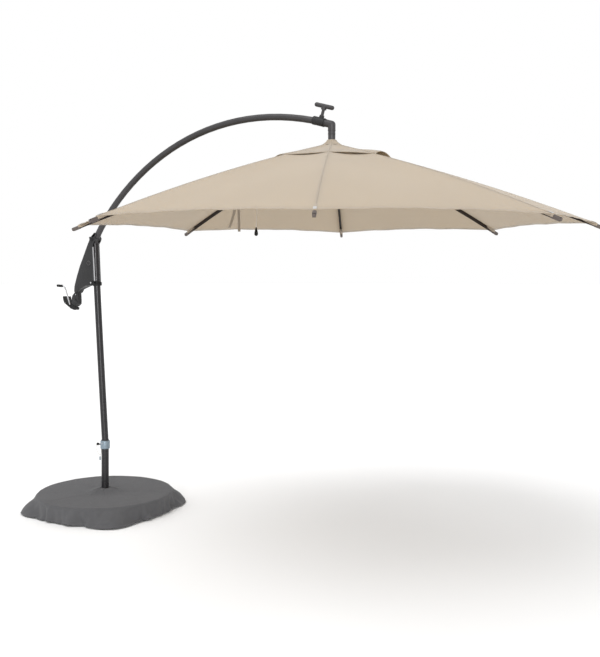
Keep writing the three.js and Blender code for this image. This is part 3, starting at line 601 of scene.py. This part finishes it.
def build_rivets():
    """A riveted saddle where each strut meets its rib, and a pin through each slot of hub and runner."""
    for index in range(RIBS):
        turn = (index + 0.5) * STEP
        out = Vector((math.cos(turn), math.sin(turn), 0))
        across = Vector((-math.sin(turn), math.cos(turn), 0))
        pin = joint_at(f"strut_{index + 1}_fold")
        slope = RIB_TOP.deriv()((pin - HUB).dot(out))
        along = (out + Vector((0, 0, slope))).normalized()
        up = across.cross(along)
        if up.z < 0:
            up = -up
        outline = [along * x * MM + up * z * MM for x, z in (
            (-22, -8), (-15, -10), (-9, -14), (9, -14), (15, -10), (22, -8), (22, 6), (-22, 6))]
        for side in (-1, 1):
            faces_at = (7.3 * MM * side, 8.7 * MM * side)
            points = [pin + corner + across * y for y in faces_at for corner in outline]
            faces = plate_faces(len(outline))
            rib = f"rib_{index + 1}"
            label = f"{index + 1}{'ab'[side > 0]}"
            soften(outward(make(f"saddle_{label}", points, faces, RIB_PAINT, rib)), 0.3 * MM)
            screw(f"rivet_{label}", pin + across * side * 8.6 * MM, across * side, 4 * MM, rib)
        hub_pin = joint_at(f"rib_{index + 1}_fold")
        for label, body, place in (("hub", "tilt_head", hub_pin),
                                   ("runner", "runner", Vector((hub_pin.x, hub_pin.y, HUB.z)))):
            ends = [place - across * PIN_REACH, place + across * PIN_REACH]
            tube(f"{label}_pin_{index + 1}", ends, 2 * MM, STEEL, body, 12)


build_housing_parts()
build_winch_parts()
build_head_parts()
build_rivets()


# ---- canopy ----------------------------------------------------------------------------------------------
LIFT = 2.5 * MM  # cloth's underside above the rib's top
CLOTH = 1.2 * MM
SAG = 14 * MM
SCALLOP = 40 * MM
VENT = 205 * MM
CAP_INNER, CAP_OUTER = 26 * MM, 346 * MM
CAP_LIFTS = [lift * MM for lift in (34, 38, 20, 24, 42, 22, 8, 12)]  # at each gore's free edge
CAP_SEAM = 0.9
NECK_LIFT, NECK_FADE = 30 * MM, 16 * MM
SEAM_GAP = 0.6 * MM


def smooth_step(value, low, high):
    t = min(1.0, max(0.0, (value - low) / (high - low)))
    return t * t * (3 - 2 * t)


def puckers(radius, side, gore):
    """Small pulls in the cloth: folds that fan in from the rib tips, and ripples along the hem."""
    share = radius / HEM
    fan = math.sin(side * 9 + gore * 1.7 + 5 * share) * (1 - side * side) * 1.3 * MM * share ** 2
    ripple = math.sin(side * 17 + gore * 2.3) * (1 - side * side) * 1.6 * MM * smooth_step(share, 0.9, 1.0)
    return fan + ripple


def gore_point(radius, side, gore, raised=0.0):
    """A point on the canopy's underside. side runs -1 to 1 from one rib to the next."""
    flat = 1 - side * side
    share = radius / HEM
    r = radius - SCALLOP * flat * share ** 4
    sag = SAG * flat * math.sin(math.pi * min(1.0, share) ** 0.8)
    height = RIB_TOP(max(r, 0.045)) + LIFT - sag + raised + puckers(radius, side, gore)
    across = side * (r * math.sin(HALF_STEP) - SEAM_GAP)
    out = r * math.cos(HALF_STEP)
    turn = gore * STEP
    return Vector((
        HUB.x + out * math.cos(turn) - across * math.sin(turn),
        HUB.y + out * math.sin(turn) + across * math.cos(turn),
        height,
    ))


def cap_rise(radius, side, gore):
    """How far the vent cap stands above the main panel's cloth, with its collar round the post."""
    neck = NECK_LIFT * math.exp(-(radius - CAP_INNER) / NECK_FADE)
    lifted = smooth_step(radius, 0.11, CAP_OUTER) * max(0.0, 1 - (side / CAP_SEAM) ** 2)
    return CLOTH + 0.4 * MM + neck + CAP_LIFTS[gore] * lifted


def spaced(share):
    """-1 to 1, closer together near the seams."""
    return math.sin(math.pi * (share - 0.5))


def canopy_sheet(name, gore, place, across, along):
    body = f"gore_{gore + 1}"
    sheet = shell(name, place, across, along, CLOTH, CANOPY_CLOTH, body)
    folds_in(sheet)
    points, faces = grid(place, across, along)
    area = sum(((points[b] - points[a]).cross(points[d] - points[a]).length
                + (points[b] - points[c]).cross(points[d] - points[c]).length) / 2 for a, b, c, d in faces)
    return sheet


def folds_in(piece):
    """Gives the piece a mesh of its own."""
    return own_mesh(piece)


STITCH_PITCH, STITCH_LONG, STITCH_WIDE = 9 * MM, 6 * MM, 1.1 * MM
STITCH_FACES = ((0, 1, 5), (2, 3, 6), (3, 2, 1, 0), (1, 2, 6, 4, 5), (3, 0, 5, 4, 6))


def stitches(name, path, gore):
    """A row of raised stitches along a path on a gore."""
    points, faces = [], []
    up = Vector((0, 0, STITCH_WIDE * 0.6))
    count = int(path_length(path) / STITCH_PITCH)
    lengths = np.cumsum([0.0] + [(b - a).length for a, b in zip(path, path[1:])])
    coordinates = np.array(path)
    for i in range(count):
        centre = (i + 0.5) * STITCH_PITCH
        start, end = (Vector([np.interp(reach, lengths, coordinates[:, k]) for k in range(3)])
                      for reach in (centre - STITCH_LONG / 2, centre + STITCH_LONG / 2))
        side = (end - start).normalized().cross(Vector((0, 0, 1))).normalized() * STITCH_WIDE / 2
        base = len(points)
        points += [start + side, start - side, end - side, end + side, (start + end) / 2 + up]
        points += [start.lerp(end, 0.2) + up * 0.8, start.lerp(end, 0.8) + up * 0.8]
        faces += [tuple(base + corner for corner in face) for face in STITCH_FACES]
    return folds_in(outward(make(name, points, faces, STITCH, f"gore_{gore + 1}")))


HEM_WIDTH = 24 * MM


def hem_band(gore):
    """The turned-up hem on the main panel's edge: a flat roll round the cloth."""
    def place(u, v):
        side = spaced(u)
        angle = 2 * math.pi * v
        inwards = (1 - math.cos(angle)) / 2 * HEM_WIDTH
        lift = math.sin(angle) * (1.5 * MM if math.cos(angle) >= 0 else 1.3 * MM)
        return gore_point(HEM + 0.8 * MM - inwards, side, gore, CLOTH / 2 + lift)

    across, around = 40, 16
    points, faces = grid(place, across, around)
    columns = across + 1
    count = columns * around
    kept = [tuple(p % count for p in face) for face in faces]
    kept.append(tuple(j * columns for j in range(around)))
    kept.append(tuple(j * columns + across for j in range(around))[::-1])
    piece = outward(make(f"hem_{gore + 1}", points[:count], kept, SEAM_CLOTH, f"gore_{gore + 1}"))
    return folds_in(piece)


def build_gore(gore):
    """One gore: its main panel with hem and stitches, and its part of the vent cap."""
    hem = hem_band(gore)
    line = [gore_point(HEM - 19 * MM, spaced(i / 60), gore, CLOTH + 1.0 * MM) for i in range(2, 59)]
    row = stitches(f"hem_stitches_{gore + 1}", line, gore)
    main = canopy_sheet(f"canopy_panel_{gore + 1}", gore,
                        lambda u, v: gore_point(VENT + (HEM - VENT) * v, spaced(u), gore),
                        28, 56)
    inset = CAP_OUTER - 12 * MM
    cap_line = [gore_point(inset, side, gore, cap_rise(inset, side, gore) + CLOTH + 0.1 * MM)
                for side in [spaced(i / 40) for i in range(1, 40)]]
    cap_row = stitches(f"cap_stitches_{gore + 1}", cap_line, gore)
    canopy_sheet(f"vent_cap_{gore + 1}", gore, lambda u, v: cap_point(spaced(u), v, gore), 24, 26)
    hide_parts(f"gore_{gore + 1}")


def cap_point(side, share, gore):
    """A point of the vent cap, at a share of the way from the post to its free edge."""
    radius = CAP_INNER + (CAP_OUTER - CAP_INNER) * share ** 1.5
    return gore_point(radius, side, gore, cap_rise(radius, side, gore))


SEAM_WIDTH = 3.4 * MM
SEAM_START = 64 * MM  # outside the rib's pivot, so that nothing swings up as the rib folds
POCKET = (1.405, 1.488)  # distances from the hub's axis
RIB_END = (1.478, 1.5265)
RIB_REACH = 1.524  # where the rib itself ends
CLIP = (1.458, 1.486)


def build_seam(rib):
    """The felled seam over a rib."""
    turn = (rib + 0.5) * STEP

    def place(u, v):
        radius = SEAM_START + (HEM - SEAM_START - 2 * MM) * v ** 1.3
        across = (u - 0.5) * SEAM_WIDTH * min(1.0, 0.35 + radius * 6)
        over_cap = (CLOTH + 0.6 * MM) * (1 - smooth_step(radius, CAP_OUTER - 4 * MM, CAP_OUTER + 6 * MM))
        neck = NECK_LIFT * math.exp(-(radius - CAP_INNER) / NECK_FADE)
        ridge = 0.13 * abs(across)
        height = RIB_TOP(max(radius, 0.045)) + LIFT + CLOTH + over_cap + neck - ridge
        return Vector((HUB.x + radius * math.cos(turn) - across * math.sin(turn),
                       HUB.y + radius * math.sin(turn) + across * math.cos(turn), height))

    shell(f"seam_{rib + 1}", place, 6, 90, 0.3 * MM, SEAM_CLOTH, f"rib_{rib + 1}")


def rib_wrap(name, rib, span, size, centre_drop, material, square):
    """A closed rounded box round a rib's end. size(share) gives its half width and half height, and a larger
    value of square makes its corners sharper."""
    turn = (rib + 0.5) * STEP
    start, end = span
    steps, sides = 10, 20
    points = []
    for i in range(steps + 1):
        share = i / steps
        radius = start + (end - start) * share
        slope = math.atan(RIB_TOP.deriv()(radius))
        half_width, half_height = size(share)
        for angle in ring_angles(sides):
            corner = 1 / max(abs(math.cos(angle)), abs(math.sin(angle))) ** square
            wide = half_width * math.cos(angle) * corner
            tall = half_height * math.sin(angle) * corner
            out = radius - tall * math.sin(slope)
            height = RIB_TOP(min(radius, RIB_REACH)) - centre_drop / math.cos(slope) + tall * math.cos(slope)
            points.append(Vector((HUB.x + out * math.cos(turn) - wide * math.sin(turn),
                                  HUB.y + out * math.sin(turn) + wide * math.cos(turn), height)))
    return outward(make(name, points, loft_faces(steps, sides), material, f"rib_{rib + 1}"))


def pocket_size(share):
    """The cloth pocket grows from the flat seam to full height at the rib's end."""
    full = smooth_step(share, 0.0, 0.75)
    return (7.2 + 2.6 * full) * MM, (7.5 + 2.5 * full) * MM


def end_size(share):
    """The rib's end cap is tapered at its tip."""
    tight = 1 - 0.35 * smooth_step(share, 0.82, 1.0)
    return 9.2 * MM * tight, 11 * MM * tight


def clip_size(share):
    """The clip is narrower at both ends."""
    rounded = 1 - 0.4 * (2 * share - 1) ** 4
    return 8.5 * MM * rounded, 1.6 * MM * rounded


def build_rib_end(rib):
    """The cloth pocket at the hem's corner, the rib's plastic end in it, and a pale clip on top, whose pale colour
    is partly a painted highlight for the light the rib tips catch from above.
    """
    rib_wrap(f"corner_pocket_{rib + 1}", rib, POCKET, pocket_size, 4.5 * MM, SEAM_CLOTH, 0.7)
    rib_wrap(f"rib_end_{rib + 1}", rib, RIB_END, end_size, 9 * MM, GREY_PLASTIC, 0.55)
    # The pale clip sits on top only, so its pale colour also paints the highlight on the rib's end as seen from
    # above.
    rib_wrap(f"pocket_clip_painted_highlight_{rib + 1}", rib, CLIP, clip_size, -6.2 * MM, PALE_CLIP_PAINTED_HIGHLIGHT, 0.7)


for index in range(RIBS):
    build_gore(index)
    build_seam(index)
    build_rib_end(index)


# ---- base cover ------------------------------------------------------------------------------------------
COVER_REACH, COVER_CORNER = 0.535, 0.04  # hem from the post, and how much further over each beam's end
COVER_HOLE = 0.027
WEIGHT_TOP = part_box("weight_1")[1].z
SKIRT_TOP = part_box("base_skirt")[1].z
TOP_REACH = 0.43  # how far the level top of the weights goes
BEAM_END_AT = 0.40  # middle of the rounded form that keeps the cloth clear of a beam's end
BEAM_END_FORM = (0.115, 0.10, 0.085)


def cover_reach(angle):
    """Distance from the post to the cover's hem, laid flat."""
    return COVER_REACH + COVER_CORNER * abs(math.sin(2 * angle)) ** 4


def cover_cloth():
    """A piece of cloth with a hole for the post, laid level just above the base."""
    around, rings = 144, 42
    points = []
    for j in range(rings + 1):
        for i in range(around):
            angle = 2 * math.pi * i / around
            radius = COVER_HOLE + (cover_reach(angle) - COVER_HOLE) * (j / rings) ** 0.85
            start = SKIRT_TOP + 0.006 - 0.02 * smooth_step(radius, 0.03, 0.12)
            points.append((radius * math.cos(angle), radius * math.sin(angle),
                           start + 0.0015 * math.sin(3 * angle + 9 * radius) + rng.normal(0, 0.0004)))
    faces = [(j * around + i, j * around + (i + 1) % around, (j + 1) * around + (i + 1) % around,
              (j + 1) * around + i) for j in range(rings) for i in range(around)]
    return make("cover", points, [face[::-1] for face in faces], COVER_CLOTH, None), around


def drape(cloth, pinned, frames_run=70):
    """Lets the cloth fall over the base and keeps the shape it ends in."""
    scene = bpy.context.scene
    solids = ["weight_1", "weight_2", "weight_3", "weight_4", "base_beam_a", "base_beam_b", "base_skirt",
              "lower_post"]
    holders = []
    for name in solids:
        copy = NODES[name].copy()
        copy.data = NODES[name].data.copy()
        copy.parent = None
        copy.modifiers.clear()
        scene.collection.objects.link(copy)
        holders.append(copy)
    bpy.ops.mesh.primitive_plane_add(size=4, location=(0, 0, 0))
    holders.append(bpy.context.object)
    bpy.ops.mesh.primitive_cylinder_add(vertices=64, radius=TOP_REACH, depth=WEIGHT_TOP,
                                        location=(0, 0, WEIGHT_TOP / 2))
    holders.append(bpy.context.object)
    for corner in range(4):
        turn = (corner + 0.5) * math.pi / 2
        bpy.ops.mesh.primitive_uv_sphere_add(segments=32, ring_count=24, radius=1, rotation=(0, 0, turn),
                                             scale=BEAM_END_FORM, location=(BEAM_END_AT * math.cos(turn),
                                                                            BEAM_END_AT * math.sin(turn), 0))
        holders.append(bpy.context.object)
    for holder in holders:
        settings = holder.modifiers.new("collision", "COLLISION").id_data.collision
        settings.thickness_outer = 0.003
        settings.thickness_inner = 0.01
        settings.cloth_friction = 25
    group = cloth.vertex_groups.new(name="pinned")
    group.add(list(range(pinned)), 1.0, "REPLACE")
    cloth_modifier = cloth.modifiers.new("cloth", "CLOTH")
    physics = cloth_modifier.settings
    physics.quality = 8
    physics.mass = 0.25
    physics.tension_stiffness = physics.compression_stiffness = 25
    physics.shear_stiffness = 8
    physics.bending_stiffness = 1.2
    physics.air_damping = 2
    physics.vertex_group_mass = "pinned"
    cloth_modifier.collision_settings.distance_min = 0.003
    cloth_modifier.collision_settings.collision_quality = 3
    cloth_modifier.collision_settings.use_self_collision = True
    cloth_modifier.collision_settings.self_distance_min = 0.002
    cloth_modifier.point_cache.frame_end = frames_run
    for step in range(1, frames_run + 1):
        scene.frame_set(step)
    evaluated = cloth.evaluated_get(bpy.context.evaluated_depsgraph_get())
    settled = np.array([v.co for v in evaluated.data.vertices])
    cloth.modifiers.clear()
    cloth.vertex_groups.clear()
    cloth.data.vertices.foreach_set("co", settled.astype(np.float32).ravel())
    cloth.data.update()
    for holder in holders:
        bpy.data.objects.remove(holder)
    scene.frame_set(1)


def build_cover():
    """The base cover, let fall over the weights and beams by the cloth solver."""
    cloth, around = cover_cloth()
    drape(cloth, around)
    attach(cloth, "base")
    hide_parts("base_cover")
    subdivide = cloth.modifiers.new("smoother", "SUBSURF")
    subdivide.levels = subdivide.render_levels = 1
    solid = cloth.modifiers.new("thickness", "SOLIDIFY")
    solid.thickness = 1.4 * MM
    solid.offset = 1.0


build_cover()


# ---- cords and strap -------------------------------------------------------------------------------------
def build_pull_cord():
    """The pull cord, a little bowed, from the rib to its pendant."""
    low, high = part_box("pull_cord")
    top = Vector(((low.x + high.x) / 2, (low.y + high.y) / 2, high.z))
    bottom = Vector((top.x, top.y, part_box("cord_pendant")[1].z))
    bow = Vector((4 * MM, 3 * MM, 0))
    path = [top.lerp(bottom, i / 24) + bow * math.sin(math.pi * i / 24) for i in range(25)]
    radius = 1.25 * MM
    cord = tube("pull_string", path, radius, CORD_BRAID, "cord")
    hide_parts("pull_cord")
    path_length(path)


def build_rope():
    """The hoist line between the top hub and the runner."""
    low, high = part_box("hoist_rope")
    x, y = (low.x + high.x) / 2, (low.y + high.y) / 2
    path = [Vector((x, y, high.z + (low.z - high.z) * i / 40)) for i in range(41)]
    radius = (high.x - low.x) / 2
    rope = tube("hoist_line", path, radius, CORD_BRAID, None, 10)
    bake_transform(rope)
    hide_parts("hoist_rope")
    path_length(path)


TAG_HALF, TAG_THICK, TAG_DROP = 5.5 * MM, 1.6 * MM, 15 * MM


def build_lanyard():
    """The cord that keeps the pin, with a ring and a blank tag at its lowest point."""
    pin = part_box("lock_pin")
    eye = Vector((pin[0].x + 4 * MM, -11.5 * MM, (pin[0].z + pin[1].z) / 2))
    route = [eye + Vector(offset) * MM for offset in (
        (0, 0, 0), (-3, -2, -8), (-1, -3, -24), (8, -3, -44), (19, -2, -60), (29, 0, -67), (34, 2, -58),
        (35, 4, -42))]
    route.append(Vector((eye.x + 35 * MM, eye.y + 4.5 * MM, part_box("lock_collar")[0].z - 1 * MM)))
    path = spline(route, 48)
    radius = 1.9 * MM
    cord = tube("lanyard", path, radius, CORD_BRAID, None, 10)
    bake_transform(cord)
    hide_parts("pin_lanyard")
    low = min(path, key=lambda p: p.z)
    loop = [low + Vector((3 * MM * math.sin(a), 0, -3.5 * MM + 5 * MM * math.cos(a)))
            for a in ring_angles(24)]
    ring = tube("tag_ring", loop + [loop[0]], 0.7 * MM, STEEL, "base", 8)
    rounded = [(math.cos(a) * TAG_HALF, math.sin(a) * TAG_HALF) for a in [math.pi * i / 8 for i in range(9)]]
    outline = rounded + in_mm((-5.5, -16), (-3.5, -20), (3.5, -20), (5.5, -16))
    points = [low + Vector((x, y, z - TAG_DROP)) for y in (-TAG_THICK / 2, TAG_THICK / 2) for x, z in outline]
    tag = outward(make("lanyard_tag", points, plate_faces(len(outline)), COLLAR_PAINT, "base"))
    soften(tag, 0.3 * MM)
    path_length(path)


def build_strap():
    """The tie strap: one webbing tail that hangs straight and one that leans away from it."""
    low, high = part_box("tie_strap")
    turn = 3.5 * STEP
    centre = (low + high) / 2
    out, across = Vector((math.cos(turn), math.sin(turn), 0)), Vector((-math.sin(turn), math.cos(turn), 0))
    width = 20 * MM
    length = high.z - low.z

    def tail(start, lean, share):
        def place(u, v):
            cup = 2 * MM * math.sin(math.pi * u) * v
            sway = lean * v ** 1.6
            top = Vector((centre.x, centre.y, high.z)) + across * start
            return (top + across * (u - 0.5) * width + across * sway + out * (0.8 * sway + cup)
                    - Vector((0, 0, length * share * v)))
        return place

    second = shell("tie_band_end", tail(11 * MM, 34 * MM, 0.88), 8, 40, 1.2 * MM, WEBBING, "strap")
    strap = shell("tie_band", tail(-11 * MM, -3 * MM, 1.0), 8, 40, 1.2 * MM, WEBBING, "strap")
    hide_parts("tie_strap")


build_pull_cord()
build_rope()
build_lanyard()
build_strap()


# ---- floor, light and camera -----------------------------------------------------------------------------
def build_stage():
    """A pale floor, and a white surround that lights the object."""
    bpy.ops.mesh.primitive_circle_add(vertices=96, radius=60, fill_type="NGON", location=(0, 0, -0.0015))
    floor = bpy.context.object
    floor.name = "floor"
    n = Nodes("floor_paint")
    tone = n.grey_ramp(n.noise(0.6, 4.0), [(0.3, 0.94), (0.7, 0.96)])
    n.link(tone, n.shader.inputs["Base Color"])
    n.shader.inputs["Roughness"].default_value = 0.9
    n.shader.inputs["Specular IOR Level"].default_value = 0.1
    floor.data.materials.append(n.material)

    world = bpy.data.worlds.new("studio")
    bpy.context.scene.world = world
    world.use_nodes = True
    tree = world.node_tree
    background = tree.nodes["Background"]
    background.inputs["Color"].default_value = (1, 1, 1, 1)
    background.inputs["Strength"].default_value = 0.92
    seen = tree.nodes.new("ShaderNodeBackground")
    seen.inputs["Color"].default_value = (1, 1, 1, 1)
    rays, mix = tree.nodes.new("ShaderNodeLightPath"), tree.nodes.new("ShaderNodeMixShader")
    tree.links.new(rays.outputs["Is Camera Ray"], mix.inputs["Fac"])
    tree.links.new(background.outputs[0], mix.inputs[1])
    tree.links.new(seen.outputs[0], mix.inputs[2])
    tree.links.new(mix.outputs[0], tree.nodes["World Output"].inputs["Surface"])


def soft_sun(name, direction, spread, strength):
    """A large soft light from far off. direction is the way the light travels."""
    light = bpy.data.lights.new(name, "SUN")
    light.angle = math.radians(spread)
    light.energy = strength
    lamp = bpy.data.objects.new(name, light)
    bpy.context.scene.collection.objects.link(lamp)
    lamp.rotation_mode = "QUATERNION"
    lamp.rotation_quaternion = Vector(direction).to_track_quat("-Z", "Y")


CAMERA_PLACE, CAMERA_LOOK = (3.881, -4.752, 1.61), (-0.457, 0.889, 0)


def build_camera():
    """A level camera at standing height, with the picture shifted down to take in the base."""
    camera = bpy.data.cameras.new("camera")
    camera.sensor_width = 36
    camera.lens = 50.08
    camera.shift_y = -0.1012
    camera.clip_end = 200
    holder = bpy.data.objects.new("camera", camera)
    bpy.context.scene.collection.objects.link(holder)
    holder.location = CAMERA_PLACE
    holder.rotation_mode = "QUATERNION"
    holder.rotation_quaternion = Vector(CAMERA_LOOK).to_track_quat("-Z", "Y")
    bpy.context.scene.camera = holder


build_stage()
soft_sun("key", (0.25, 0.45, -1.0), 40, 1.0)
soft_sun("front", (-0.5, 0.86, -0.12), 10, 1.1)
build_camera()
bpy.context.scene.view_settings.view_transform = "Standard"
